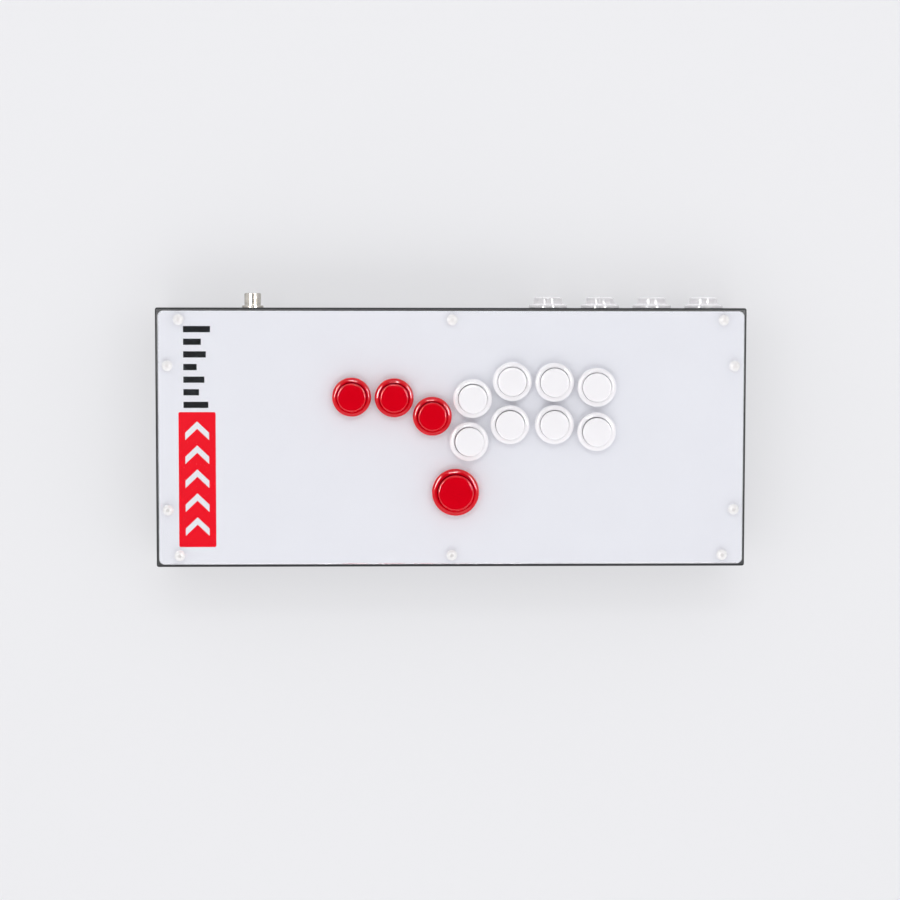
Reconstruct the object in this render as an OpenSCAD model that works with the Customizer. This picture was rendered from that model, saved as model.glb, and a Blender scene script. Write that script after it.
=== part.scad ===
// All-button arcade controller: a flat steel case with sixteen snap-in push buttons.
// It lies flat: +X to the right, +Y to the rear wall, +Z up. Millimetres.
// The origin is under the middle of the whole outline, on the surface that it stands on.

/* [Case] */
// Width of the case, left to right
case_w = 419; // [345:1:510]
// Depth of the case, front to rear
case_d = 184; // [152:1:240]
// Height of the walls, from the base plate to the top of the deck
case_h = 50; // [46:1:70]
// Thickness of the folded sheet
sheet_t = 1.5; // [1:0.1:2]
// Outer radius of the folds round the deck
fold_r = 1.6; // [1.6:0.1:4]
// Width of the flange turned in along the foot of each wall
flange_w = 15; // [13:0.5:20]
// Thickness of the base plate
base_t = 1.5; // [1:0.1:3]
// How far the base plate stays inside the walls
base_inset = 1; // [0:0.1:3]

/* [Cover] */
// Thickness of the clear cover
cover_t = 3; // [2:0.1:4]
// How far the cover stays inside the case's outline
cover_inset = 2.3; // [1:0.1:4]
// Radius of the cover's corners
cover_corner_r = 3.8; // [2:0.1:8]
// Thickness of the printed sheet under the cover
art_t = 0.25; // [0.15:0.05:0.5]
// Thread diameter of the cover screws
cover_screw_d = 4; // [3:0.5:5]
// Diameter of their button heads
cover_head_d = 7.6; // [6:0.1:9]
// Height of their button heads
cover_head_h = 2.2; // [1.5:0.1:3]
// Distance of the front and rear screws from the case's edge
cover_screw_edge_y = 8.5; // [7:0.1:12]
// Distance of the left and right screws from the case's edge
cover_screw_edge_x = 8.8; // [7:0.1:12]
// Distance of the corner screws from the left and right edges
cover_screw_corner_x = 16.8; // [12:0.1:24]
// Distance of the side screws from the middle line
cover_screw_side_y = 51; // [40:0.5:60]

/* [Fasteners] */
// Thread diameter of the base and foot screws
base_screw_d = 3; // [2.5:0.1:4]
// Diameter of their heads
base_head_d = 5.6; // [5:0.1:6.5]
// Height of their heads
base_head_h = 1.8; // [1:0.1:2.4]
// Distance of the base screws from the case's edge
base_screw_edge = 9.5; // [8:0.1:11]

/* [Feet] */
// Diameter of a rubber foot where it meets the base plate
foot_d = 18; // [14:0.5:26]
// Diameter of the face it stands on
foot_face_d = 16; // [12:0.5:24]
// Height of a rubber foot
foot_h = 4; // [3:0.1:10]
// Distance of the feet from the case's edges
foot_edge = 30; // [26:1:50]

/* [Small buttons] */
// Diameter of the rim
small_rim_d = 27.5; // [26:0.1:29]
// Diameter of the barrel under the rim
small_barrel_d = 23.8; // [23:0.1:25]
// Diameter of the plunger
small_plunger_d = 20.3; // [18:0.1:20.6]

/* [Large button] */
// Diameter of the rim
large_rim_d = 33.3; // [31:0.1:35]
// Diameter of the barrel under the rim
large_barrel_d = 29.8; // [29:0.1:31]
// Diameter of the plunger
large_plunger_d = 25.2; // [22:0.1:26.5]

/* [Button parts] */
// Height of the rim over the panel
rim_h = 3; // [2:0.1:4]
// Height of the plunger over the rim at rest
plunger_rise = 5.2; // [4:0.1:7]
// How far a plunger travels
travel = 3.4; // [2:0.1:3.8]
// Length of the barrel under the rim
barrel_len = 13; // [11:0.5:18]
// Wall of the hollow plunger
plunger_wall = 1.6; // [1.2:0.1:2.5]
// Width of the switch along its terminals
switch_w = 12.8; // [11:0.1:14]
// Thickness of the switch
switch_t = 6.5; // [5:0.1:7.5]
// Height of the switch
switch_h = 9; // [8:0.1:12]

/* [Rear panel] */
// Distance between the rear buttons
rear_pitch = 37.5; // [30:0.5:40]
// Place of the last rear button, in from the right edge
rear_last_edge = 27; // [24:0.5:60]
// Place of the panel socket, in from the left edge
socket_edge = 67.3; // [30:0.1:90]
// Outside diameter of the socket's thread
socket_d = 12; // [10:0.1:14.4]
// Length of the socket's thread
socket_thread_len = 8.9; // [6:0.1:14]
// Diameter of the socket's flange
socket_flange_d = 15.4; // [13:0.1:20]
// Thickness of the socket's flange
socket_flange_t = 1.5; // [1:0.1:3]

/* [Circuit board] */
// Width of the board
board_w = 76; // [60:1:90]
// Depth of the board
board_d = 52; // [50:1:64]
// Distance of the board's rear edge from the rear wall
board_rear_gap = 44; // [40:1:60]
// Height of the stand-offs
standoff_h = 6; // [4:0.5:12]
// Diameter of a wire over its insulation
wire_d = 1.6; // [1.2:0.1:2]

/* [Hidden] */
$fn = 64;
fine = 96;

// Clearances
hole_gap = 0.25;        // a part through its hole, all round
slide_gap = 0.3;        // a plunger in its barrel, all round
thread_gap = 0.05;      // a screw in its nut, all round
clip_gap = 0.15;        // a clip under the panel that it grips
seat_gap = 0.2;         // a switch in its collar, all round
cover_hole_gap = 0.4;   // the cover round a barrel

// Heights over the surface that the case stands on
shell_z = foot_h + base_t;
deck_top = shell_z + case_h;
cover_top = deck_top + art_t + cover_t;
face_grip = sheet_t + art_t + cover_t;
rear_z = shell_z + case_h * 0.45;

// The socket sticks out at the rear, so the case stands forward of the origin by half its reach
socket_reach = socket_flange_t + socket_thread_len;
case_y = -socket_reach / 2;

// Places of the face buttons, from the middle of the deck
ACTION_AT = [[14.5, 28], [42.5, 40], [72.5, 39.5], [102.5, 36],
             [12, -2.5], [41, 9.5], [72.5, 9.5], [102.5, 4.5]];
MOVE_AT = [[-71, 29], [-41, 28.5], [-14, 15.5]];
UP_AT = [2.5, -38.5];
MOVE_NAMES = ["move_left", "move_down", "move_right"];

small = [small_rim_d, small_barrel_d, small_plunger_d];
large = [large_rim_d, large_barrel_d, large_plunger_d];
white = [0.95, 0.95, 0.94];
red = [0.8, 0.02, 0.06];

// Lanes of the harness, counted from the front
ACTION_LANE = [6, 11, 10, 9, 1, 2, 5, 3];
MOVE_LANE = [8, 7, 4];
UP_LANE = 0;
REAR_LANE = [12, 13, 14, 15];
GROUND_LANE = [16, 17];
lanes = 18;

// Each button: name, size, colour, place, true on the rear wall, its lane in the harness
ACTION = [for (i = [0:7]) [str("action_", i + 1), small, white, ACTION_AT[i], false, ACTION_LANE[i]]];
MOVE = [for (i = [0:2]) [MOVE_NAMES[i], small, red, MOVE_AT[i], false, MOVE_LANE[i]]];
UP = [["move_up", large, red, UP_AT, false, UP_LANE]];
REAR = [for (i = [0:3])
    [str("rear_", i + 1), small, white,
     [case_w / 2 - rear_last_edge - (3 - i) * rear_pitch, case_d / 2], true, REAR_LANE[i]]];
BUTTONS = concat(ACTION, MOVE, UP, REAR);

// Places of the fasteners and the feet
cover_x = case_w / 2 - cover_screw_corner_x;
cover_y = case_d / 2 - cover_screw_edge_y;
side_x = case_w / 2 - cover_screw_edge_x;
COVER_SCREWS = concat([for (x = [-cover_x, 0, cover_x], y = [-cover_y, cover_y]) [x, y]],
                      [for (x = [-side_x, side_x], y = [-cover_screw_side_y, cover_screw_side_y]) [x, y]]);
base_x = case_w / 2 - base_screw_edge;
base_y = case_d / 2 - base_screw_edge;
BASE_SCREWS = concat([for (x = [-base_x, -base_x / 3, base_x / 3, base_x], y = [-base_y, base_y]) [x, y]],
                     [for (x = [-base_x, base_x]) [x, 0]]);
FEET = [for (x = [-1, 1], y = [-1, 1]) [x * (case_w / 2 - foot_edge), y * (case_d / 2 - foot_edge)]];

// Levels inside a button, over the panel that its rim sits on
floor_t = 1.6;                                   // floor of the barrel
skirt_z = -4.2;                                  // lower edge of the plunger's skirt
lug_h = 2;                                       // height of the plunger's lugs
lug_w = 3;                                       // width of the lugs
stem_d = 3.6;                                    // stem that pushes the switch
stem_gap = 0.5;                                  // stem in the floor and in the switch, all round
switch_z = -barrel_len;                          // top of the switch, under the floor
well_h = travel + 2.6;                           // depth of the switch's well
collar_t = 1.2;                                  // wall round the switch
collar_h = 5;                                    // height of that wall
tab_w = 2.8;                                     // terminal
tab_t = 0.5;
tab_len = 6.3;
tab_x = 3.4;                                     // place of a terminal, from the switch's middle
receptacle = [2.4, 4.6, 7.6];                    // push-on receptacle over a terminal
receptacle_z = switch_z - switch_h - 1;          // its upper end
wire_z = receptacle_z - receptacle[2];           // where its wire comes out

// The circuit board and the harness
board_z = shell_z + standoff_h;
board_t = 1.6;
board_x = (MOVE_AT[0][0] - case_w / 2 - board_w) / 2;    // left edge: midway from the wall to the first button
board_y = case_d / 2 - board_rear_gap - board_d; // front edge
header_w = 6;
BOARD_HOLES = [for (x = [4, board_w - header_w - 6], y = [4, board_d - 4]) [board_x + x, board_y + y]];
lane_pitch = 2.6;
lane_y = board_y + 3.4;                          // first lane
header_h = 6.5;
header_x = board_x + board_w - header_w;         // left face of the header
lane_z = board_z + board_t + header_h / 2;       // height of the wires where they enter the header
cross_z = lane_z + 5.4;                          // height of the face wires running to their lanes
rear_cross_z = cross_z - 2.2;                    // the rear ones run under them
chain_z = cross_z + 2.2;                         // height of the ground chain
bend_r = 2.6;                                    // bends of the wires
socket_x = -case_w / 2 + socket_edge;
rear_wall_y = case_d / 2;

// Helpers

// Everything is drawn from the middle of the case and then stands forward of the origin
module placed() { translate([0, case_y, 0]) children(); }

// Points of a rectangle with round corners, anticlockwise
function round_rect(w, d, r, n = 10) =
    [for (c = [[1, 1, 0], [-1, 1, 90], [-1, -1, 180], [1, -1, 270]], i = [0:n])
        [c[0] * (w / 2 - r), c[1] * (d / 2 - r)] + r * [cos(c[2] + 90 * i / n), sin(c[2] + 90 * i / n)]];

// Outline of a wall-to-wall section with its two upper corners folded over
function folded(w, h, r, n = 8) =
    concat([[-w / 2, 0], [w / 2, 0]],
           [for (i = [0:n]) [w / 2 - r + r * cos(90 * i / n), h - r + r * sin(90 * i / n)]],
           [for (i = [0:n]) [-w / 2 + r - r * sin(90 * i / n), h - r + r * cos(90 * i / n)]]);

// Points of an arc in a turned profile
function arc(cx, cz, r, a, b, n = 8) = [for (i = [0:n]) [cx + r * cos(a + (b - a) * i / n), cz + r * sin(a + (b - a) * i / n)]];

// Puts a button's own frame, with its axis up, on the deck or on the rear wall
module at_button(b) {
    if (b[4]) translate([b[3][0], b[3][1], rear_z]) rotate([-90, 0, 0]) children();
    else translate([b[3][0], b[3][1], cover_top]) children();
}

function grip(b) = b[4] ? sheet_t : face_grip;
function barrel_r(b) = b[1][1] / 2;
function plunger_r(b) = b[1][2] / 2;
function bore_r(b) = plunger_r(b) + slide_gap;

// A tube along points, with eight sides
function unit(v) = v / norm(v);
function tangent(p, i) = unit(p[min(i + 1, len(p) - 1)] - p[max(i - 1, 0)]);
function turned(u, t) = unit(u - (u * t) * t);
function frames(p, i, u) = i == len(p) ? [] : let (v = turned(u, tangent(p, i))) concat([v], frames(p, i + 1, v));
module tube(p, r, sides = 8) {
    t0 = tangent(p, 0);
    u = frames(p, 0, abs(t0[2]) < 0.9 ? [0, 0, 1] : [1, 0, 0]);
    pts = [for (i = [0:len(p) - 1], k = [0:sides - 1])
        let (a = 360 * k / sides, w = cross(tangent(p, i), u[i])) p[i] + r * (cos(a) * u[i] + sin(a) * w)];
    last = (len(p) - 1) * sides;
    walls = [for (i = [0:len(p) - 2], k = [0:sides - 1])
        let (a = i * sides + k, b = i * sides + (k + 1) % sides)
        [a, a + sides, b + sides, b]];
    polyhedron(pts, concat(walls, [[for (k = [0:sides - 1]) k]], [[for (k = [sides - 1:-1:0]) last + k]]),
               convexity = 6);
}

// A path through corners, with each inner corner rounded
function rounded(c, r, n = 3) = concat([c[0]],
    [for (i = [1:len(c) - 2])
        let (a = unit(c[i - 1] - c[i]), b = unit(c[i + 1] - c[i]),
             s = min(r, norm(c[i - 1] - c[i]) / 2.05, norm(c[i + 1] - c[i]) / 2.05))
        for (k = [0:n])
            let (f = k / n) c[i] + s * (a * (1 - f) * (1 - f) + b * f * f)],
    [c[len(c) - 1]]);

// Case

module case_shell() color("#1c1c1e") placed() difference() {
    translate([0, 0, shell_z]) intersection() {
        rotate([90, 0, 0]) linear_extrude(case_d, center = true) polygon(folded(case_w, case_h, fold_r));
        rotate([90, 0, 90]) linear_extrude(case_w, center = true) polygon(folded(case_d, case_h, fold_r));
    }
    // Inside of the case, over the flange
    translate([-case_w / 2 + sheet_t, -case_d / 2 + sheet_t, shell_z + sheet_t])
        cube([case_w - 2 * sheet_t, case_d - 2 * sheet_t, case_h - 2 * sheet_t]);
    // Opening inside the flange
    translate([-case_w / 2 + flange_w, -case_d / 2 + flange_w, shell_z - 1])
        cube([case_w - 2 * flange_w, case_d - 2 * flange_w, sheet_t + 2]);
    for (b = BUTTONS) at_button(b)
        translate([0, 0, -grip(b) - 1]) cylinder(r = barrel_r(b) + hole_gap, h = grip(b) + 2, $fn = fine);
    for (p = COVER_SCREWS) translate([p[0], p[1], deck_top - sheet_t - 1])
        cylinder(d = cover_screw_d + 2 * hole_gap, h = sheet_t + 2);
    for (p = BASE_SCREWS) translate([p[0], p[1], shell_z - 1])
        cylinder(d = base_screw_d + 2 * hole_gap, h = sheet_t + 2);
    translate([socket_x, rear_wall_y + 1, rear_z]) rotate([90, 0, 0])
        cylinder(d = socket_d + 2 * hole_gap, h = sheet_t + 2);
}

module base_plate() color("#232325") placed() difference() {
    translate([0, 0, foot_h]) linear_extrude(base_t)
        polygon(round_rect(case_w - 2 * base_inset, case_d - 2 * base_inset, 3));
    for (p = BASE_SCREWS) translate([p[0], p[1], foot_h - 1])
        cylinder(d = base_screw_d + 2 * hole_gap, h = base_t + 2);
    for (p = FEET) translate([p[0], p[1], foot_h - 1])
        cylinder(d = base_screw_d + 2 * hole_gap, h = base_t + 2);
    for (p = BOARD_HOLES) translate([p[0], p[1], foot_h - 1])
        cylinder(d = base_screw_d + 2 * hole_gap, h = base_t + 2);
}

module panel_sheet(z, t) difference() {
    translate([0, 0, z]) linear_extrude(t)
        polygon(round_rect(case_w - 2 * cover_inset, case_d - 2 * cover_inset, cover_corner_r));
    for (b = concat(ACTION, MOVE, UP)) translate([b[3][0], b[3][1], z - 1])
        cylinder(r = barrel_r(b) + cover_hole_gap, h = t + 2, $fn = fine);
    for (p = COVER_SCREWS) translate([p[0], p[1], z - 1])
        cylinder(d = cover_screw_d + 2 * hole_gap, h = t + 2);
}

module acrylic_cover() color([0.85, 0.9, 0.95, 0.35]) placed() panel_sheet(deck_top + art_t, cover_t);
module art_sheet() color("#e8eaef") placed() panel_sheet(deck_top, art_t);

// Fasteners: a screw stands with the underside of its head at z = 0

module button_head(d, head_d, head_h, len) {
    dome_r = (head_d * head_d / 4 + head_h * head_h) / (2 * head_h);
    a = asin(head_d / 2 / dome_r);
    difference() {
        rotate_extrude() polygon(concat([[0, -len], [d / 2 - 0.3, -len], [d / 2, -len + 0.3], [d / 2, 0], [head_d / 2, 0]],
            [for (i = [1:8]) [dome_r * sin(a * (1 - i / 8)), head_h - dome_r + dome_r * cos(a * (1 - i / 8))]]));
        translate([0, 0, head_h - 1.3]) cylinder(d = d * 0.72, h = 2, $fn = 6);
    }
}

module nut(d, across, h) difference() {
    cylinder(d = across / cos(30), h = h, $fn = 6);
    translate([0, 0, -1]) cylinder(d = d + 2 * thread_gap, h = h + 2);
}

module clinch_nut(d, outer_d, h) difference() {
    cylinder(d = outer_d, h = h);
    translate([0, 0, -1]) cylinder(d = d + 2 * thread_gap, h = h + 2);
}

cover_nut_h = 4;
base_nut_h = 3.5;
module cover_screws() color("#f4f3f1") placed() for (p = COVER_SCREWS)
    translate([p[0], p[1], cover_top]) button_head(cover_screw_d, cover_head_d, cover_head_h, face_grip + cover_nut_h + 0.8);
module cover_nuts() color("#b9bcc0") placed() for (p = COVER_SCREWS)
    translate([p[0], p[1], deck_top - sheet_t - cover_nut_h]) clinch_nut(cover_screw_d, cover_screw_d + 4, cover_nut_h);
module base_screws() color("#2a2a2c") placed() for (p = BASE_SCREWS)
    translate([p[0], p[1], foot_h]) mirror([0, 0, 1])
        button_head(base_screw_d, base_head_d, base_head_h, base_t + sheet_t + base_nut_h + 0.5);
module base_nuts() color("#b9bcc0") placed() for (p = BASE_SCREWS)
    translate([p[0], p[1], shell_z + sheet_t]) clinch_nut(base_screw_d, base_screw_d + 3.6, base_nut_h);

// Feet: a recess in the face takes the screw's head

foot_recess_h = 2.2;
module rubber_feet() color("#161616") placed() for (p = FEET) translate([p[0], p[1], 0]) difference() {
    rotate_extrude() polygon([[0, 0], [foot_face_d / 2 - 0.6, 0], [foot_face_d / 2, 0.6], [foot_d / 2, foot_h - 0.8],
                              [foot_d / 2, foot_h], [0, foot_h]]);
    translate([0, 0, -1]) cylinder(d = base_head_d + 1.2, h = foot_recess_h + 1);
    translate([0, 0, -1]) cylinder(d = base_screw_d + 2 * hole_gap, h = foot_h + 2);
}
foot_nut_h = 2.4;
module foot_screws() color("#b9bcc0") placed() for (p = FEET)
    translate([p[0], p[1], foot_recess_h]) mirror([0, 0, 1])
        button_head(base_screw_d, base_head_d, base_head_h, foot_h - foot_recess_h + base_t + foot_nut_h + 0.8);
module foot_nuts() color("#b9bcc0") placed() for (p = FEET)
    translate([p[0], p[1], shell_z]) nut(base_screw_d, base_screw_d + 2.5, foot_nut_h);

// Buttons, each in its own frame: the rim sits on z = 0 and the axis points out

// The rim's top is highest just outside the bore and falls in a curve to its edge
rim_crest = 0.45;                                // place of the highest ring, outside the bore
rim_fall = 0.45;                                 // share of its height that the rim loses at its edge
function rim_top(in_r, rim_r, n = 10) = [for (i = [0:n]) let (t = i / n)
    [in_r + rim_crest + t * (rim_r - in_r - rim_crest), rim_h * (1 - rim_fall * 2 * (1 - sqrt(1 - 0.75 * t * t)))]];

module housing(b) {
    rim_r = b[1][0] / 2;
    out_r = barrel_r(b);
    in_r = bore_r(b);
    difference() {
        union() {
            rotate_extrude($fn = fine) polygon(concat(
                [[in_r, -barrel_len + floor_t], [in_r, rim_h - 0.35], [in_r + 0.15, rim_h - 0.1]],
                rim_top(in_r, rim_r),
                [[rim_r, 0], [out_r, 0], [out_r, -barrel_len], [0, -barrel_len], [0, -barrel_len + floor_t]]));
            // Collar that the switch snaps into
            translate([0, 0, switch_z - collar_h / 2]) cube([switch_w + 2 * (seat_gap + collar_t),
                switch_t + 2 * (seat_gap + collar_t), collar_h], center = true);
            // Snap clips under the panel
            for (a = [90, 270]) rotate([0, 0, a]) rotate([90, 0, 0]) linear_extrude(7, center = true)
                polygon([[out_r - 1, -grip(b) - clip_gap], [out_r + 1.3, -grip(b) - clip_gap],
                         [out_r + 1.3, -grip(b) - clip_gap - 1], [out_r - 0.2, -barrel_len + 2], [out_r - 1, -barrel_len + 2]]);
        }
        // Slots that the plunger's lugs slide in
        for (a = [0, 180]) rotate([0, 0, a])
            translate([in_r - 1, -lug_w / 2 - slide_gap, skirt_z - travel - slide_gap])
                cube([out_r - in_r + 3, lug_w + 2 * slide_gap, travel + lug_h + 2 * slide_gap]);
        // Passage of the stem
        translate([0, 0, -barrel_len - collar_h - 1]) cylinder(d = stem_d + 2 * stem_gap, h = floor_t + collar_h + 2);
        translate([0, 0, switch_z - collar_h / 2 - 0.5])
            cube([switch_w + 2 * seat_gap, switch_t + 2 * seat_gap, collar_h + 1], center = true);
    }
}

module plunger(b) {
    r = plunger_r(b);
    top = rim_h + plunger_rise;
    crown = 0.5;
    edge = 1.3;
    rotate_extrude($fn = fine) polygon(concat(
        [[0, top], [r * 0.45, top - crown * 0.2]],
        arc(r - edge, top - crown - edge, edge, 90, 0),
        [[r, skirt_z], [r - plunger_wall, skirt_z], [r - plunger_wall, top - crown - plunger_wall],
         [stem_d / 2, top - crown - plunger_wall], [stem_d / 2, switch_z - 0.6], [0, switch_z - 0.6]]));
    lug_out = barrel_r(b) - 0.3;
    for (a = [0, 180]) rotate([0, 0, a]) translate([r - 0.8, -lug_w / 2, skirt_z]) cube([lug_out - r + 0.8, lug_w, lug_h]);
}

module switch_body() difference() {
    translate([0, 0, switch_z - switch_h / 2]) cube([switch_w, switch_t, switch_h], center = true);
    translate([0, 0, switch_z - well_h]) cylinder(d = stem_d + 2 * stem_gap, h = well_h + 1);
}

module one_housing(b) color(b[2]) placed() at_button(b) housing(b);
module one_plunger(b) color(b[2]) placed() at_button(b) plunger(b);
module action_switches() color("#2b2b2d") placed() for (b = ACTION) at_button(b) switch_body();
module move_switches() color("#2b2b2d") placed() for (b = concat(MOVE, UP)) at_button(b) switch_body();
module rear_switches() color("#2b2b2d") placed() for (b = REAR) at_button(b) switch_body();
module switch_terminals() color("#c9a45a") placed() for (b = BUTTONS) at_button(b) for (x = [-tab_x, tab_x])
    translate([x - tab_t / 2, -tab_w / 2, switch_z - switch_h - tab_len]) cube([tab_t, tab_w, tab_len]);
module wire_receptacles() color("#d9d9d6") placed() for (b = BUTTONS) at_button(b) for (x = [-tab_x, tab_x])
    translate([x, 0, receptacle_z - receptacle[2] / 2]) difference() {
        cube(receptacle, center = true);
        translate([0, 0, 1]) cube([tab_t + 0.3, tab_w + 0.3, receptacle[2]], center = true);
    }

// Socket: its axis points out of the rear wall, z = 0 is the wall's outer face

module at_socket() translate([socket_x, rear_wall_y, rear_z]) rotate([-90, 0, 0]) children();
socket_bore_r = socket_d / 2 - 1.1;
socket_rear = 12;                                // length of the socket behind the wall's outer face
insert_recess = 0.8;
CONTACTS = [for (a = [45:90:315]) 2.7 * [cos(a), sin(a)]];
contact_r = 0.9;
module socket_shell() color("#b8babd") placed() at_socket() difference() {
    union() {
        cylinder(d = socket_flange_d, h = socket_flange_t);
        translate([0, 0, -socket_rear]) cylinder(d = socket_d, h = socket_rear + socket_reach);
    }
    translate([0, 0, -socket_rear - 1]) cylinder(r = socket_bore_r, h = socket_rear + socket_reach + 2);
}
module socket_insulator() color("#1b1b1c") placed() at_socket() difference() {
    translate([0, 0, -socket_rear]) cylinder(r = socket_bore_r - 0.02, h = socket_rear + socket_reach - insert_recess);
    for (p = CONTACTS) translate([p[0], p[1], -socket_rear - 1])
        cylinder(r = contact_r + 0.02, h = socket_rear + socket_reach + 2, $fn = 32);
}
module socket_contacts() color("#d6b25e") placed() at_socket() for (p = CONTACTS)
    translate([p[0], p[1], -socket_rear - 3]) difference() {
        cylinder(r = contact_r, h = socket_rear + 3 + socket_reach - insert_recess - 0.4, $fn = 32);
        translate([0, 0, socket_rear + socket_reach - 3]) cylinder(r = 0.5, h = 8, $fn = 24);
    }
module socket_nut() color("#b8babd") placed() at_socket()
    translate([0, 0, -sheet_t - 3]) nut(socket_d, socket_d + 4.5, 3);

// Circuit board

module circuit_board() color("#1f5a34") placed() difference() {
    translate([board_x, board_y, board_z]) cube([board_w, board_d, board_t]);
    for (p = BOARD_HOLES) translate([p[0], p[1], board_z - 1]) cylinder(d = base_screw_d + 2 * hole_gap, h = board_t + 2);
}
module board_standoffs() color("#c9ccd0") placed() for (p = BOARD_HOLES) translate([p[0], p[1], shell_z])
    nut(base_screw_d, base_screw_d + 2.5, standoff_h);
module board_screws() color("#c9ccd0") placed() for (p = BOARD_HOLES) {
    translate([p[0], p[1], board_z + board_t]) button_head(base_screw_d, base_head_d, base_head_h, board_t + standoff_h / 2 - 0.3);
    translate([p[0], p[1], foot_h]) mirror([0, 0, 1])
        button_head(base_screw_d, base_head_d, base_head_h, base_t + standoff_h / 2 - 0.3);
}
// Chips: x and y of the corner on the board, then width, depth and height
CHIPS = [[30, 19, 12, 12, 1.6], [20, 26, 5, 3.2, 1.2], [31, 36, 6, 5, 1.6], [48, 22, 5, 6, 1.5], [12, 10, 4, 3, 1]];
module board_chips() color("#202124") placed() for (c = CHIPS)
    translate([board_x + c[0], board_y + c[1], board_z + board_t]) cube([c[2], c[3], c[4]]);
data_plug = [12, 6, 6];
data_plug_at = [socket_x - data_plug[0] / 2, board_y + board_d - data_plug[1] - 1];
module board_header() color("#e9e7e0") placed() translate([0, 0, board_z + board_t]) {
    translate([header_x, lane_y - 2, 0]) cube([header_w, (lanes - 1) * lane_pitch + 4, header_h]);
    translate([data_plug_at[0], data_plug_at[1], 0]) cube(data_plug);
}

// Wires. They leave the receptacles away from the panel, and rear ones run forward a little first.

header_face = board_x + board_w;
first_run = 4;                                   // straight run of a rear wire
chain_d = 1.1;                                   // ground chain
chain_x = 0.6;                                   // two of its wires share a receptacle, this far off its middle
chain_hop = 2.6;                                 // a rear link leaves forward and then rises this far
pass_gap = 3;                                    // a face link stays this far off the signal wire that it passes
function wire_start(b, x) = b[4] ? [b[3][0] + x, b[3][1] + wire_z, rear_z] : [b[3][0] + x, b[3][1], cover_top + wire_z];
function lane(j) = lane_y + j * lane_pitch;

// Corners of a wire from a receptacle to its lane and along it to the header
function to_header(b, x, j) = let (s = wire_start(b, x), y = b[4] ? s[1] - first_run : s[1],
                                   z = b[4] ? rear_cross_z : cross_z) concat([s],
    b[4] ? [[s[0], y, s[2]]] : [],
    [[s[0], y, z], [s[0], lane(j), z], [s[0], lane(j), lane_z], [header_face, lane(j), lane_z]]);

// Corners of a wire of the ground chain, from one button to the next
function side(a, b) = b[3][0] < a[3][0] ? -1 : 1;    // a wire leaves on the side that its neighbour lies
function forward(s) = [s[0], s[1] - chain_hop, s[2]];
function over(s) = forward(s) + [0, 0, chain_hop];
function level(s) = [s[0], s[1], chain_z];
function arrival(a, b) = b[3][0] == a[3][0] ? 1 : -side(a, b);
// A face link bends round the signal wire of the right-hand one of its two buttons
function detour(a, b) = let (right = b[3][0] < a[3][0] ? a : b, left = b[3][0] < a[3][0] ? b : a)
    [right[3][0] - tab_x, right[3][1] + (left[3][1] - right[3][1] > pass_gap ? pass_gap : -pass_gap), chain_z];
function link(a, b) = let (s = wire_start(a, tab_x + side(a, b) * chain_x), e = wire_start(b, tab_x + arrival(a, b) * chain_x))
    a[4] ? [s, forward(s), over(s), over(e), forward(e), e]
         : concat([s, level(s)], b[3][0] == a[3][0] ? [] : [detour(a, b)], [level(e), e]);

module signal_wires() color("#b02020") placed() for (b = BUTTONS)
    tube(rounded(to_header(b, -tab_x, b[5]), bend_r), wire_d / 2);

FACE_CHAIN = concat(MOVE, [for (i = [0, 1, 2, 3, 7, 6, 5, 4]) ACTION[i]], UP);
module chain(buttons, lane_no) {
    tube(rounded(to_header(buttons[0], tab_x - chain_x, lane_no), bend_r), chain_d / 2);
    for (i = [0:len(buttons) - 2]) tube(rounded(link(buttons[i], buttons[i + 1]), bend_r), chain_d / 2);
}
module ground_wires() color("#202020") placed() {
    chain(FACE_CHAIN, GROUND_LANE[0]);
    chain(REAR, GROUND_LANE[1]);
}

module data_lead() color("#2a2a2c") placed() {
    start = [socket_x, rear_wall_y - socket_rear - 3, rear_z];
    plug_top = [data_plug_at[0] + data_plug[0] / 2, data_plug_at[1] + data_plug[1] / 2, board_z + board_t + data_plug[2]];
    tube(rounded([start, [start[0], plug_top[1], rear_z], plug_top], 6, 4), 2);
}

case_shell();
base_plate();
acrylic_cover();
art_sheet();
cover_screws();
cover_nuts();
base_screws();
base_nuts();
rubber_feet();
foot_screws();
foot_nuts();
for (b = BUTTONS) one_housing(b);
for (b = BUTTONS) one_plunger(b);
action_switches();
move_switches();
rear_switches();
switch_terminals();
socket_shell();
socket_insulator();
socket_contacts();
socket_nut();
circuit_board();
board_chips();
board_header();
board_standoffs();
board_screws();
wire_receptacles();
signal_wires();
ground_wires();
data_lead();
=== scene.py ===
"""The looks of an all-button arcade controller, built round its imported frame.

The file is laid out as a Blender add-on and is run as a script. Lengths are in metres.
"""

from math import asin, cos, pi, radians, sin

import bmesh
import bpy
from bpy.props import FloatProperty, FloatVectorProperty, PointerProperty
from mathutils import Matrix, Vector


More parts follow.
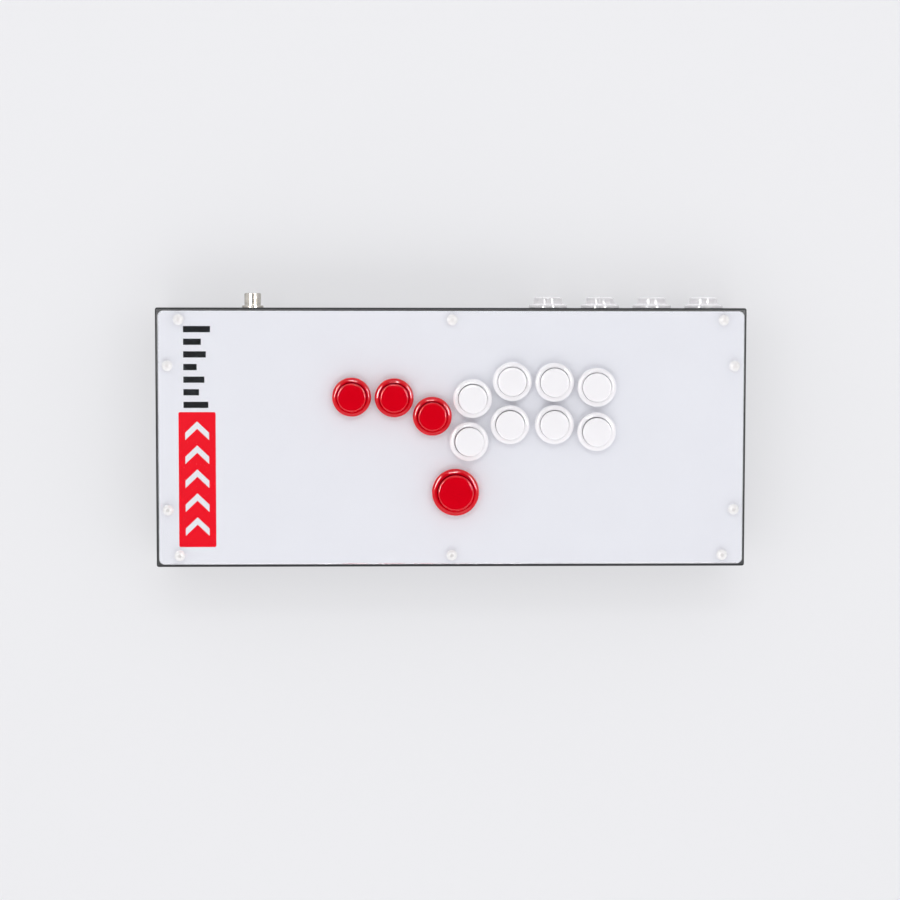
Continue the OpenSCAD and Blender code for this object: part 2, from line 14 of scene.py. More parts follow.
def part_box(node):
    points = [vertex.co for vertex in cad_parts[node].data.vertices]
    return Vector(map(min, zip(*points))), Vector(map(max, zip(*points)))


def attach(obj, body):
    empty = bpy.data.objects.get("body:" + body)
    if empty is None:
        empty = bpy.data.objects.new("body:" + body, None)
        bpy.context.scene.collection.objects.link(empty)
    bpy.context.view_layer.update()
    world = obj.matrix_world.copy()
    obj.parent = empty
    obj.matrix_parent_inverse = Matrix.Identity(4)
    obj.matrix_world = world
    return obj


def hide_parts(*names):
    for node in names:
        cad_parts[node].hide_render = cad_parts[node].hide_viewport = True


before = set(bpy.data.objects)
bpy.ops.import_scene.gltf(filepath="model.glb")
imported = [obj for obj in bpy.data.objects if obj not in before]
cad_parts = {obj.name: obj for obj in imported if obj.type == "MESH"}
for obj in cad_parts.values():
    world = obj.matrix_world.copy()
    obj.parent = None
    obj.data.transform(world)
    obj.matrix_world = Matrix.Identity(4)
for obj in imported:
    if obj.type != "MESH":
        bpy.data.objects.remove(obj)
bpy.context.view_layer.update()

bl_info = {
    "name": "All-Button Arcade Controller",
    "version": (1, 0, 0),
    "blender": (4, 5, 0),
    "location": "View3D > Sidebar > Controller",
    "description": "Builds an all-button arcade controller and the studio that it stands in",
    "category": "Add Mesh",
}

MM = 0.001
BUTTONS = sorted(
    name.removesuffix("_housing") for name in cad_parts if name.endswith("_housing")
)
REAR_BUTTONS = [name for name in BUTTONS if name.startswith("rear_")]
RED_BUTTONS = [name for name in BUTTONS if name.startswith("move_")]
LARGE_BUTTONS = ["move_up"]

# Heights inside a button, over the panel that its rim sits on
RIM_H = 3.0 * MM
BARREL_LEN = 13.0 * MM
BARREL_FLOOR = 1.6 * MM
SLIDE_GAP = 0.3 * MM
SKIRT_Z = -4.2 * MM
LUG_H = 2.0 * MM
LUG_W = 3.0 * MM
TRAVEL = 3.4 * MM
PLUNGER_RISE = 5.2 * MM
PLUNGER_WALL = 1.6 * MM
STEM_R = 1.8 * MM
STEM_HOLE_R = 2.3 * MM
COLLAR_H = 5.0 * MM
# What lies between a face button's rim and the underside of the deck
FACE_GRIP = 4.75 * MM
# How far a plunger sits off the middle of its bore, within its play, in millimetres
PLAY = {
    "action_1": (-0.04, -0.19),
    "action_2": (-0.2, -0.02),
    "action_3": (-0.13, -0.13),
    "action_4": (-0.16, -0.06),
    "action_5": (0.2, 0.0),
    "action_6": (-0.06, -0.18),
    "action_7": (-0.15, -0.12),
    "action_8": (-0.02, -0.16),
    "move_left": (0.02, -0.18),
    "move_down": (0.0, -0.18),
    "move_right": (0.06, -0.17),
    "move_up": (0.13, -0.14),
}

# Thickness of the folded sheet, the threads of the screws, and the play of a hole round what it holds
SHEET = 1.5 * MM
M3, M4 = 3.0 * MM, 4.0 * MM
HOLE_PLAY = 0.25 * MM
COVER_HOLE_PLAY = 0.4 * MM
# Diameter and height of a screw's button head
M3_HEAD = (5.6 * MM, 1.8 * MM)
M4_HEAD = (7.6 * MM, 2.2 * MM)

# The print, from the middle of the case: bars that reach over a share of their field, and under them
# a block with chevrons
INK = 0.03 * MM
BARS_LEFT, BARS_RIGHT, BARS_TOP = -189.6 * MM, -170.6 * MM, 74.6 * MM
BAR_PITCH, BAR_H = 8.9 * MM, 4.4 * MM
BAR_REACHES = (1.0, 0.66, 0.84, 0.5, 0.78, 0.58, 0.92)
BLOCK_LOW, BLOCK_HIGH = (-193.2 * MM, -77.5 * MM), (-167.0 * MM, 18.3 * MM)
CHEVRONS, CHEVRON_START, CHEVRON_PITCH = 5, 8.0 * MM, 17.0 * MM
CHEVRON_HALF, CHEVRON_RISE, CHEVRON_THICK = 8.4 * MM, 8.0 * MM, 5.2 * MM

# Each lamp: its place, its size across and along, the setting of its power, and the rays that it is
# hidden from. The first two light everything, and the strips only draw highlights.
LAMPS = {
    "front_softbox": ((0.0, -0.9, 1.25), (1.4, 0.8), "fill", "visible_camera"),
    "rear_softbox": ((0.0, 0.85, 1.35), (0.7, 0.2), "key", "visible_camera"),
    "left_strip": ((-0.78, 0.26, 1.4), (0.62, 0.16), "strips", "visible_diffuse"),
    "right_strip": ((0.78, 0.26, 1.4), (0.62, 0.16), "strips", "visible_diffuse"),
    "top_strip": ((0.0, 0.41, 1.38), (0.28, 0.07), "accent", "visible_diffuse"),
}
LAMPS_AIM = (0.0, 0.0, 0.05)


# ------------------------------------------------------------------ colours and nodes


def colour(text):
    """Turns an sRGB hex value into the linear colour that a shader takes."""
    parts = [int(text[i : i + 2], 16) / 255 for i in (1, 3, 5)]
    linear = [c / 12.92 if c <= 0.04045 else ((c + 0.055) / 1.055) ** 2.4 for c in parts]
    return (*linear, 1.0)


def per(millimetres):
    """The scale of a pattern whose features are this many millimetres across."""
    return 1000.0 / millimetres


def waves(millimetres):
    """The scale of a wave texture whose waves are this many millimetres apart."""
    return per(millimetres) * 2 * pi / 20


def add(tree, kind, inputs=None, **settings):
    """Adds a node with its settings. An input takes a value, a socket, or a node's first socket."""
    node = tree.nodes.new("ShaderNode" + kind)
    for name, value in settings.items():
        setattr(node, name, value)
    for name, value in (inputs or {}).items():
        if isinstance(value, bpy.types.Node):
            value = value.outputs[0]
        if isinstance(value, bpy.types.NodeSocket):
            tree.links.new(value, node.inputs[name])
        else:
            node.inputs[name].default_value = value
    return node


def start_finish(name, sockets):
    """Starts a material, with the constant values of its shader set on the shader's own sockets."""
    made = bpy.data.materials.new(name)
    made.use_nodes = True
    shader = made.node_tree.nodes["Principled BSDF"]
    for socket, value in sockets.items():
        shader.inputs[socket].default_value = value
    place = add(made.node_tree, "TexCoord").outputs["Object"]
    return made, made.node_tree, shader, place


def dress(tree, shader, tones, share, gloss, wear, height, depth, strength):
    """Finishes a surface: its colour, its gloss and its relief each follow a pattern of their own."""
    mixed = add(tree, "Mix", {0: share, 6: tones[0], 7: tones[1]}, data_type="RGBA")
    tree.links.new(mixed.outputs[2], shader.inputs["Base Color"])
    ranged = add(tree, "MapRange", {"Value": wear, "To Min": gloss[0], "To Max": gloss[1]})
    tree.links.new(ranged.outputs["Result"], shader.inputs["Roughness"])
    bump = add(tree, "Bump", {"Height": height, "Distance": depth, "Strength": strength})
    tree.links.new(bump.outputs["Normal"], shader.inputs["Normal"])


def show_through(tree, shader, share, clear):
    """Lets a share of the rays pass through a surface."""
    either = add(tree, "MixShader", {0: share, 1: shader, 2: clear})
    tree.links.new(either.outputs[0], tree.nodes["Material Output"].inputs["Surface"])


# ------------------------------------------------------------------ materials


def powder_coated_steel():
    # Polyester powder baked on folded steel: satin, with an orange peel 1.6 mm across that breaks up
    # the reflections, and a grain of 0.3 mm that lifts the black to a dark grey under a studio light.
    look = bpy.context.scene.controller_case
    made, tree, shader, place = start_finish(
        "powder_coated_steel", {"IOR": 1.5, "Specular IOR Level": 0.3}
    )
    peel = add(tree, "TexNoise", {"Vector": place, "Scale": per(1.6), "Detail": 1.0})
    grain = add(tree, "TexNoise", {"Vector": place, "Scale": per(0.3), "Detail": 2.0})
    both = add(tree, "Math", {0: grain, 1: 0.25, 2: peel}, operation="MULTIPLY_ADD")
    tones = (*look.powder, 1.0), (*[c * 1.45 + 0.004 for c in look.powder], 1.0)
    dress(tree, shader, tones, grain, (0.36, 0.5), peel, both, 0.05 * MM, 0.7)
    return made


def clear_cast_acrylic():
    # Polished cast acrylic: a bright edge and clean reflections, with a slow waviness of 60 mm from
    # casting and rub marks so fine that they only dull the gloss in places. Light on its way to or
    # from the print passes straight through, so the sheet under it isn't darkened twice.
    look = bpy.context.scene.controller_cover
    made, tree, shader, place = start_finish(
        "clear_cast_acrylic", {"IOR": 1.49, "Transmission Weight": 1.0}
    )
    rubbed = add(tree, "Mapping", {"Vector": place, "Scale": (1.0, 14.0, 1.0)})
    marks = add(tree, "TexNoise", {"Vector": rubbed, "Scale": per(9.0), "Detail": 3.0})
    wave = add(tree, "TexNoise", {"Vector": place, "Scale": per(60.0), "Detail": 0.0})
    tones = (*look.tint, 1.0), (*[c * 0.985 for c in look.tint], 1.0)
    dress(tree, shader, tones, marks, (0.005, 0.035), marks, wave, 0.04 * MM, 0.4)
    ray = add(tree, "LightPath").outputs
    passing = add(
        tree, "Math", {0: ray["Is Shadow Ray"], 1: ray["Is Diffuse Ray"]}, operation="MAXIMUM"
    )
    clear = add(tree, "BsdfTransparent", {"Color": (0.985, 0.99, 0.995, 1.0)})
    show_through(tree, shader, passing, clear)
    return made


def printed_vinyl(name, tone):
    # Solvent ink on calendered vinyl: even and flat, with a paper-fine grain of 0.5 mm and a slow
    # unevenness in the lay of the ink. It lies close against the cover, so it has hardly any gloss.
    made, tree, shader, place = start_finish(name, {"IOR": 1.46, "Specular IOR Level": 0.04})
    lay = add(tree, "TexNoise", {"Vector": place, "Scale": per(35.0), "Detail": 3.0})
    grain = add(tree, "TexNoise", {"Vector": place, "Scale": per(0.5), "Detail": 2.0})
    share = add(tree, "Math", {0: grain, 1: 0.35, 2: lay}, operation="MULTIPLY_ADD")
    tones = (*[c * 0.975 for c in tone], 1.0), (*[min(1.0, c * 1.012) for c in tone], 1.0)
    dress(tree, shader, tones, share, (0.42, 0.55), grain, grain, 0.01 * MM, 0.3)
    return made


def moulded_abs(name, tone, depth_tone):
    # Injection-moulded ABS from a polished tool: high gloss, with faint flow marks of 9 mm in its
    # colour and a skin so even that only a ripple of 1.2 mm stirs the highlights.
    rough = bpy.context.scene.controller_buttons.gloss
    made, tree, shader, place = start_finish(name, {"IOR": 1.53, "Specular IOR Level": 0.28})
    flow = add(
        tree, "TexNoise", {"Vector": place, "Scale": per(9.0), "Detail": 2.0, "Distortion": 0.6}
    )
    skin = add(tree, "TexNoise", {"Vector": place, "Scale": per(1.2), "Detail": 2.0})
    tones = (*depth_tone, 1.0), (*tone, 1.0)
    dress(tree, shader, tones, flow, (rough * 0.75, rough * 1.35), skin, skin, 0.004 * MM, 0.35)
    return made


def painted_steel():
    # Wet paint sprayed on screw heads: a soft gloss, with a fine orange peel of 0.7 mm.
    made, tree, shader, place = start_finish("white_painted_steel", {"IOR": 1.5})
    peel = add(tree, "TexNoise", {"Vector": place, "Scale": per(0.7), "Detail": 2.0})
    tones = colour("#e9e7e6"), colour("#f6f4f3")
    dress(tree, shader, tones, peel, (0.22, 0.34), peel, peel, 0.02 * MM, 0.6)
    return made


def plated_steel(name, bright, dull, low, high):
    # Barrel-plated zinc: small steel parts that tumble against each other, so the metal is dulled in
    # patches of 2 mm and covered in tiny dents of 0.35 mm.
    made, tree, shader, place = start_finish(name, {"Metallic": 1.0})
    patch = add(tree, "TexNoise", {"Vector": place, "Scale": per(2.0), "Detail": 3.0})
    dents = add(tree, "TexVoronoi", {"Vector": place, "Scale": per(0.35)})
    tones = colour(dull), colour(bright)
    dress(tree, shader, tones, patch, (low, high), patch, dents, 0.02 * MM, 0.35)
    return made


def nickel_plated_brass():
    # Turned brass under bright nickel: mirror-like, a little yellow, with turning marks across the
    # axis of the socket. The real marks are 0.05 mm apart and are drawn at 1.6 mm so that they show.
    made, tree, shader, place = start_finish("nickel_plated_turned_brass", {"Metallic": 1.0})
    turning = add(
        tree, "TexWave",
        {"Vector": place, "Scale": waves(1.57), "Distortion": 0.4, "Detail": 2.0},
        bands_direction="Y",
    ).outputs["Fac"]
    cloud = add(tree, "TexNoise", {"Vector": place, "Scale": per(4.0), "Detail": 2.0})
    tones = colour("#a8a298"), colour("#d9d5ce")
    dress(tree, shader, tones, cloud, (0.1, 0.24), turning, turning, 0.008 * MM, 0.4)
    return made


def moulded_rubber():
    # Compression-moulded black rubber: matt, with a grain of 0.45 mm from the sand-blasted mould and
    # a grey bloom in patches.
    made, tree, shader, place = start_finish(
        "moulded_rubber", {"IOR": 1.52, "Specular IOR Level": 0.35}
    )
    grain = add(tree, "TexNoise", {"Vector": place, "Scale": per(0.45), "Detail": 3.0})
    bloom = add(tree, "TexNoise", {"Vector": place, "Scale": per(7.0), "Detail": 3.0})
    tones = colour("#101011"), colour("#1f1f20")
    dress(tree, shader, tones, bloom, (0.62, 0.82), grain, grain, 0.04 * MM, 0.6)
    return made


def moulded_plastic(name, low_tone, high_tone, low, high, texture):
    # Moulded nylon, epoxy and thermoset parts: a dull skin with an eroded texture of the given width
    # and a slight mottle, nine times as wide, where the melt met.
    made, tree, shader, place = start_finish(name, {"IOR": 1.5})
    fine, coarse = per(texture), per(texture * 9)
    skin = add(tree, "TexNoise", {"Vector": place, "Scale": fine, "Detail": 3.0})
    mottle = add(
        tree, "TexNoise",
        {"Vector": place, "Scale": coarse, "Detail": 2.0, "Distortion": 0.8},
    )
    tones = colour(low_tone), colour(high_tone)
    dress(tree, shader, tones, mottle, (low, high), skin, skin, 0.02 * MM, 0.4)
    return made


def tinned_brass():
    # Brass strip, stamped and tin-plated: satin metal with the yellow showing through in streaks
    # where the die rubbed it.
    made, tree, shader, place = start_finish("tin_plated_stamped_brass", {"Metallic": 1.0})
    drawn = add(tree, "Mapping", {"Vector": place, "Scale": (8.0, 8.0, 1.0)})
    rub = add(tree, "TexNoise", {"Vector": drawn, "Scale": per(3.0), "Detail": 4.0})
    tones = colour("#b98f45"), colour("#cfc6b4")
    dress(tree, shader, tones, rub, (0.22, 0.4), rub, rub, 0.01 * MM, 0.4)
    return made


def glass_laminate_board():
    # Green solder mask over copper on woven glass: tracks 2.2 mm apart show as lighter lines, and the
    # weave of the glass, 0.6 mm, ripples the gloss.
    made, tree, shader, place = start_finish(
        "solder_mask_on_glass_laminate", {"IOR": 1.5, "Coat Weight": 0.3, "Coat Roughness": 0.15}
    )
    tracks = add(
        tree, "TexBrick",
        {"Vector": place, "Color1": (0, 0, 0, 1), "Color2": (0.1, 0.1, 0.1, 1),
         "Mortar": (1, 1, 1, 1), "Scale": per(4.4), "Mortar Size": 0.06, "Mortar Smooth": 0.1,
         "Brick Width": 2.6, "Row Height": 0.5},
    )
    weave = add(tree, "TexChecker", {"Vector": place, "Scale": per(0.6)}).outputs["Fac"]
    tones = colour("#0f3d22"), colour("#2c7445")
    dress(tree, shader, tones, tracks, (0.25, 0.36), weave, tracks, 0.035 * MM, 0.8)
    return made


def wire_insulation(name, low_tone, high_tone):
    # Extruded PVC over stranded copper: a soft gloss, with the lay of the strands, 8.8 mm, showing
    # faintly through.
    made, tree, shader, place = start_finish(name, {"IOR": 1.53})
    strands = add(
        tree, "TexWave",
        {"Vector": place, "Scale": waves(8.8), "Distortion": 1.0, "Detail": 1.0},
        bands_direction="DIAGONAL",
    ).outputs["Fac"]
    dirt = add(tree, "TexNoise", {"Vector": place, "Scale": per(11.0), "Detail": 2.0})
    tones = colour(low_tone), colour(high_tone)
    dress(tree, shader, tones, dirt, (0.3, 0.42), strands, strands, 0.02 * MM, 0.35)
    return made


def studio_floor():
    # Opal acrylic lit from below: pale and matt, so shadows on it stay faint, with a roller's stipple
    # of 6 mm. It lets the underside be seen from below.
    look = bpy.context.scene.controller_stage
    glow = {"Emission Color": colour("#f8f8fb"), "Emission Strength": look.glow}
    made, tree, shader, place = start_finish(
        "opal_acrylic_floor", {"IOR": 1.4, "Specular IOR Level": 0.2, **glow}
    )
    roll = add(tree, "TexNoise", {"Vector": place, "Scale": per(6.0), "Detail": 3.0})
    tones = (*[c * 0.98 for c in look.floor_tone], 1.0), (*look.floor_tone, 1.0)
    dress(tree, shader, tones, roll, (0.6, 0.75), roll, roll, 0.005 * MM, 0.2)
    below = add(tree, "NewGeometry").outputs["Backfacing"]
    show_through(tree, shader, below, add(tree, "BsdfTransparent"))
    return made


# ------------------------------------------------------------------ shaping by hand


def alone(piece):
    """Leaves a piece alone selected and active."""
    bpy.ops.object.select_all(action="DESELECT")
    piece.select_set(True)
    bpy.context.view_layer.objects.active = piece


def begin(kind, name, **size):
    """Adds a primitive, alone selected, as the start of a piece."""
    bpy.ops.object.select_all(action="DESELECT")
    getattr(bpy.ops.mesh, f"primitive_{kind}_add")(**size)
    piece = bpy.context.object
    piece.name = piece.data.name = name
    bpy.ops.object.transform_apply(location=True, rotation=True, scale=True)
    return piece


def pick(piece, kind, test):
    """In edit mode, picks the vertices, edges or faces that pass a test."""
    bpy.ops.mesh.select_mode(type=kind)
    bpy.ops.mesh.select_all(action="DESELECT")
    shape = bmesh.from_edit_mesh(piece.data)
    for part in {"VERT": shape.verts, "EDGE": shape.edges, "FACE": shape.faces}[kind]:
        if test(part):
            part.select_set(True)
    bmesh.update_edit_mesh(piece.data)


def finish_with(piece, kind, **settings):
    """Adds a modifier with its settings and applies it."""
    alone(piece)
    bpy.ops.object.modifier_add(type=kind)
    modifier = piece.modifiers[-1]
    for name, value in settings.items():
        setattr(modifier, name, value)
    bpy.ops.object.modifier_apply(modifier=modifier.name)


def ease_edges(piece, width, steps=2, angle=30):
    """Rounds every sharp edge of a piece a little."""
    limit = {"limit_method": "ANGLE", "angle_limit": radians(angle)}
    finish_with(piece, "BEVEL", width=width, segments=steps, miter_outer="MITER_ARC", **limit)


def smooth(piece, angle=32):
    """Smooths the shading of curves, and keeps it true on the flats beside them."""
    alone(piece)
    bpy.ops.object.shade_smooth_by_angle(angle=radians(angle))
    finish_with(piece, "WEIGHTED_NORMAL", weight=100, keep_sharp=True)


def together(parts):
    """Joins loose parts into one object."""
    bpy.ops.object.select_all(action="DESELECT")
    for part in parts:
        part.select_set(True)
    bpy.context.view_layer.objects.active = parts[0]
    if len(parts) > 1:
        bpy.ops.object.join()
    return bpy.context.object


def combine(piece, parts, operation):
    """Cuts parts out of a piece or fuses them to it, and removes them."""
    tool = together(parts)
    finish_with(piece, "BOOLEAN", object=tool, operation=operation, solver="EXACT")
    bpy.data.meshes.remove(tool.data)


def stands_upright(edge):
    """Whether an edge runs along the Z axis."""
    return abs((edge.verts[0].co - edge.verts[1].co).normalized().z) > 0.9


def slab(name, low, high, corner=0.0, steps=10):
    """A plate between its lowest and highest corners, with its upright edges rounded."""
    piece = begin("cube", name, size=1.0, location=(low + high) / 2, scale=high - low)
    if corner:
        bpy.ops.object.mode_set(mode="EDIT")
        pick(piece, "EDGE", stands_upright)
        bpy.ops.mesh.bevel(offset=corner, segments=steps, affect="EDGES")
        bpy.ops.object.mode_set(mode="OBJECT")
    return piece


def rods(places, radius, length, rotation=(0.0, 0.0, 0.0), sides=64):
    """Rods with their middles at some places: what a drill takes away."""
    size = {"vertices": sides, "radius": radius, "depth": length, "rotation": rotation}
    return [begin("cylinder", "rod", location=place, **size) for place in places]


def draw(name, points):
    """A line of vertices, drawn point by point by extruding the last one."""
    piece = begin("plane", name, size=MM)
    bpy.ops.object.mode_set(mode="EDIT")
    bpy.ops.mesh.select_mode(type="VERT")
    bpy.ops.mesh.select_all(action="SELECT")
    bpy.ops.mesh.merge(type="CENTER")
    here = Vector(points[0])
    bpy.ops.transform.translate(value=here)
    for point in points[1:]:
        bpy.ops.mesh.extrude_region_move(TRANSFORM_OT_translate={"value": Vector(point) - here})
        here = Vector(point)
    bpy.ops.mesh.select_all(action="SELECT")
    return piece


def turn(name, profile, steps=96):
    """A turned piece: its profile of radii and heights is spun round the Z axis and closed."""
    piece = draw(name, [(radius, 0.0, height) for radius, height in profile])
    bpy.ops.mesh.spin(steps=steps, angle=2 * pi, center=(0, 0, 0), axis=(0, 0, 1))
    bpy.ops.mesh.select_all(action="SELECT")
    bpy.ops.mesh.remove_doubles(threshold=0.002 * MM)
    bpy.ops.mesh.normals_make_consistent(inside=False)
    bpy.ops.object.mode_set(mode="OBJECT")
    return piece


def raised(name, outline, low, high):
    """A flat shape with this outline, raised from one height to another."""
    piece = draw(name, [(x, y, low) for x, y in outline])
    bpy.ops.mesh.edge_face_add()
    bpy.ops.mesh.extrude_region_move(TRANSFORM_OT_translate={"value": (0.0, 0.0, high - low)})
    bpy.ops.mesh.select_all(action="SELECT")
    bpy.ops.mesh.normals_make_consistent(inside=False)
    bpy.ops.object.mode_set(mode="OBJECT")
    return piece


def arc(x, z, radius, start, end, steps=8):
    """Points of an arc in a profile, with its angles in degrees."""
    angles = [radians(start + (end - start) * i / steps) for i in range(steps + 1)]
    return [(x + radius * cos(a), z + radius * sin(a)) for a in angles]


def settle(piece, name, body, nodes, finish):
    """Gives a finished piece its name, material, body and the CAD nodes it stands for."""
    piece.name = piece.data.name = name
    piece.data.materials.clear()
    piece.data.materials.append(finish)
    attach(piece, body)
    if nodes:
        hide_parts(*nodes)
    return piece


def copies(model, places):
    """Copies of a model with their places in their own meshes. The model itself is removed."""
    made = []
    for place in places:
        mesh = model.data.copy()
        mesh.transform(place)
        piece = bpy.data.objects.new(model.name, mesh)
        bpy.context.scene.collection.objects.link(piece)
        made.append(piece)
    bpy.data.meshes.remove(model.data)
    return made


def coat_nodes(finish, *nodes):
    """Gives CAD nodes whose shapes are right their material."""
    for name in nodes:
        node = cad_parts[name]
        node.data.materials.clear()
        node.data.materials.append(finish)


# ------------------------------------------------------------------ places from the frame


def middle(name):
    """The middle of a CAD node's box."""
    low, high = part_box(name)
    return (low + high) / 2


def solid_boxes(name):
    """The lowest and highest corners of each separate solid of a CAD node."""
    mesh = bmesh.new()
    mesh.from_mesh(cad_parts[name].data)
    bmesh.ops.remove_doubles(mesh, verts=mesh.verts, dist=0.001 * MM)
    left, found = set(mesh.verts), []
    while left:
        group, queue = [], [left.pop()]
        while queue:
            vertex = queue.pop()
            group.append(vertex.co.copy())
            for edge in vertex.link_edges:
                other = edge.other_vert(vertex)
                if other in left:
                    left.remove(other)
                    queue.append(other)
        low = Vector([min(p[i] for p in group) for i in range(3)])
        high = Vector([max(p[i] for p in group) for i in range(3)])
        found.append((low, high))
    mesh.free()
    return sorted(found, key=lambda pair: tuple(round(v, 5) for v in pair[0]))


def plan_places(name, z):
    """The middle of each solid of a CAD node in plan, at a height."""
    return [((low.x + high.x) / 2, (low.y + high.y) / 2, z) for low, high in solid_boxes(name)]


def button_place(name):
    """The frame of a button: its rim sits on z = 0 and its axis points out of the panel."""
    low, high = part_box(name + "_housing")
    centre = (low + high) / 2
    if name in REAR_BUTTONS:
        outwards = Matrix.Rotation(-pi / 2, 4, "X")
        return Matrix.Translation((centre.x, high.y - RIM_H, centre.z)) @ outwards
    return Matrix.Translation((centre.x, centre.y, high.z - RIM_H))


def button_radii(name):
    """The radii of a button's rim, barrel and plunger."""
    low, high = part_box(name + "_housing")
    cap_low, cap_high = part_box(name + "_plunger")
    across = 2 if name in REAR_BUTTONS else 1
    barrel = (cap_high.x - cap_low.x) / 2 + SLIDE_GAP
    return (high.x - low.x) / 2, barrel, (cap_high[across] - cap_low[across]) / 2


def socket_radii():
    """The radii of the socket's bore, which clears its insulator, and of its thread."""
    low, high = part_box("socket_insulator")
    bore = (high.x - low.x) / 2 + 0.02 * MM
    return bore, bore + 1.1 * MM


# ------------------------------------------------------------------ settings


def length(name, description, default):
    return FloatProperty(
        name=name, description=description, default=default, min=0.0, subtype="DISTANCE"
    )


def amount(name, description, default, most=1000.0):
    return FloatProperty(name=name, description=description, default=default, min=0.0, max=most)


def vector(name, description, default, subtype="TRANSLATION"):
    return FloatVectorProperty(
        name=name, description=description, default=default, size=3, subtype=subtype
    )


def tone(name, description, default):
    return FloatVectorProperty(
        name=name, description=description, default=colour(default)[:3], size=3, min=0.0, max=1.0,
        subtype="COLOR",
    )


class ControllerCaseSettings(bpy.types.PropertyGroup):
    powder: tone("Powder coat", "Colour of the steel case", "#17181b")
    fold: length("Fold radius", "Outer radius of the folds of the sheet", 1.6 * MM)
    sheet: length("Sheet", "Thickness of the folded sheet", SHEET)
    flange: length("Flange", "Width of the flange along the foot of each wall", 15.0 * MM)


class ControllerCoverSettings(bpy.types.PropertyGroup):
    tint: tone("Acrylic", "Tint of the clear cover", "#fdfeff")
    polish: length("Edge", "Width of the polished chamfer round the cover", 0.35 * MM)
    corner: length("Corner radius", "Radius of the corners of the cover and the print", 3.8 * MM)
    ground: tone("Ground", "Colour of the printed sheet", "#f4f3f7")
    black_ink: tone("Black ink", "Colour of the bars", "#101214")
    red_ink: tone("Red ink", "Colour of the block", "#fa0420")
    white_ink: tone("White ink", "Colour of the chevrons", "#f2f1f4")


class ControllerButtonSettings(bpy.types.PropertyGroup):
    white: tone("White", "Colour of the white buttons", "#f8f6f8")
    red: tone("Red", "Colour of the red buttons", "#dc0018")
    gloss: amount("Roughness", "Roughness of the moulded buttons", 0.06, 1.0)
    crest: length("Crest", "Place of the rim's highest ring, outside its bore", 0.45 * MM)
    fall: amount("Fall", "Share of its height that the rim loses at its edge", 0.45, 0.9)
    cap_round: length("Cap round", "Radius of the plunger's edge", 1.3 * MM)
    crown: length("Crown", "Height of the plunger's dome", 0.5 * MM)


class ControllerStageSettings(bpy.types.PropertyGroup):
    lens: amount("Lens", "Focal length in millimetres", 85.6)
    eye: vector("Camera", "Place of the camera", (-0.0489, 0.08768, 1.5708))
    target: vector("Target", "Place that the camera looks at", (-0.00141, -0.01371, 0.05875))
    upwards: vector("Up", "Way that is up in the picture", (0.0007, 0.9978, -0.0669), "DIRECTION")
    floor_tone: tone("Floor", "Colour of the floor", "#9c9c9d")
    glow: amount("Glow", "Strength of the light that shines up through the floor", 0.54)
    surround: amount("Surround", "Strength of the even light from the front half of the room", 1.14)
    behind: amount("Surround behind", "Strength of the even light from the rear half", 1.0)
    fill: amount("Front", "Power of the large softbox in front, in watts", 3.2)
    key: amount("Rear", "Power of the softbox beyond the rear wall, in watts", 2.4)
    strips: amount("Strips", "Power of each strip box at the sides, in watts", 34.0)
    accent: amount("Top", "Power of the short strip box over the rear edge, in watts", 7.0)


# ------------------------------------------------------------------ pieces


class CONTROLLER_OT_stage(bpy.types.Operator):
    """Sets the floor, the soft lights and the camera"""

    bl_idname = "controller.stage"
    bl_label = "Studio"

    def execute(self, context):
        look = context.scene.controller_stage
        context.scene.view_settings.view_transform = "Standard"
        floor = begin("circle", "studio_floor", vertices=96, radius=9.0, fill_type="NGON")
        floor.data.materials.append(studio_floor())

        world = bpy.data.worlds.new("studio_surround")
        context.scene.world = world
        world.use_nodes = True
        tree = world.node_tree
        sky = tree.nodes["Background"]
        sky.inputs["Color"].default_value = colour("#fafafc")
        # The light comes from all round but not from straight above, where Z is 1, so the gloss of
        # the flats stays deep. It fades from 31 to 22 degrees off the vertical, where Z is 0.86 and
        # 0.93, and it is a little brighter in front.
        way = add(tree, "SeparateXYZ", {"Vector": add(tree, "TexCoord").outputs["Generated"]}).outputs
        dark_top = add(
            tree, "MapRange",
            {"Value": way["Z"], "From Min": 0.86, "From Max": 0.93, "To Min": 1.0, "To Max": 0.03},
            interpolation_type="SMOOTHSTEP",
        )
        front = add(
            tree, "MapRange",
            {"Value": way["Y"], "From Min": -0.08, "From Max": 0.08,
             "To Min": look.surround, "To Max": look.behind},
            interpolation_type="SMOOTHSTEP",
        )
        strength = add(tree, "Math", {0: dark_top, 1: front}, operation="MULTIPLY")
        tree.links.new(strength.outputs[0], sky.inputs["Strength"])
        for name, (place, size, power, hidden) in LAMPS.items():
            self.lamp(name, place, size, getattr(look, power), hidden)

        lens = bpy.data.cameras.new("camera")
        lens.lens = look.lens
        lens.sensor_width = 36.0
        lens.clip_start, lens.clip_end = 0.01, 100.0
        camera = bpy.data.objects.new("camera", lens)
        context.scene.collection.objects.link(camera)
        back = (Vector(look.eye) - Vector(look.target)).normalized()
        right = Vector(look.upwards).cross(back).normalized()
        turned = Matrix((right, back.cross(right), back)).transposed().to_4x4()
        camera.matrix_world = Matrix.Translation(look.eye) @ turned
        context.scene.camera = camera
        return {"FINISHED"}

    def lamp(self, name, place, size, power, hidden):
        """An area light that faces the object, hidden from the camera and from the rays given."""
        light = bpy.data.lights.new(name, "AREA")
        light.shape = "RECTANGLE"
        light.size, light.size_y = size
        light.energy = power
        lamp = bpy.data.objects.new(name, light)
        bpy.context.scene.collection.objects.link(lamp)
        lamp.location = place
        lamp.rotation_mode = "QUATERNION"
        lamp.rotation_quaternion = (Vector(LAMPS_AIM) - Vector(place)).to_track_quat("-Z", "Y")
        lamp.visible_camera = False
        setattr(lamp, hidden, False)


